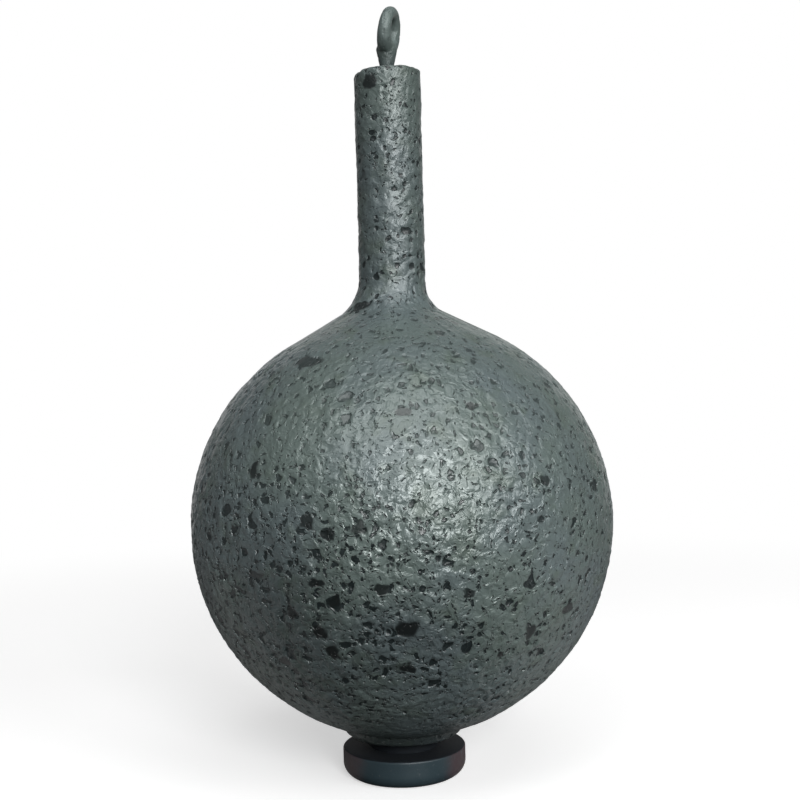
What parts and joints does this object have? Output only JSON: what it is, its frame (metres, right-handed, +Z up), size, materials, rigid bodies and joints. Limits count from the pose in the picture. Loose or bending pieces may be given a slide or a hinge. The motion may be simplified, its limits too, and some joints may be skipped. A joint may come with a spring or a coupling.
{
  "type": "ball fishing sinker",
  "caption": "Ball-shaped lead fishing sinker with a long cast stem, a turning swivel eye at its end and a rubber foot to stand on.",
  "frame": {"origin": "middle of the foot's flat underside, where the sinker stands", "axes": "+Z up along the ball, stem and swivel; the pictured side faces -Y"},
  "size_m": [0.034, 0.034, 0.0622],
  "materials": {
    "coating": "textured semi-gloss coat",
    "brass": "turned",
    "steel": "plain",
    "foot_rubber": "satin moulded"
  },
  "bodies": {
    "sinker": {"sinker_body": "coating", "swivel_barrel": "brass", "anchor_eye": "steel", "threaded_insert": "brass", "foot_stud": "steel", "foot_pad": "foot_rubber"},
    "eye": {"swivel_eye": "coating"}
  },
  "joints": [
    {"name": "eye_spin", "type": "hinge", "parent": "sinker", "child": "eye", "pos_m": [0, 0, 0.0568], "axis": [0, 0, 1], "continuous": true}
  ]
}
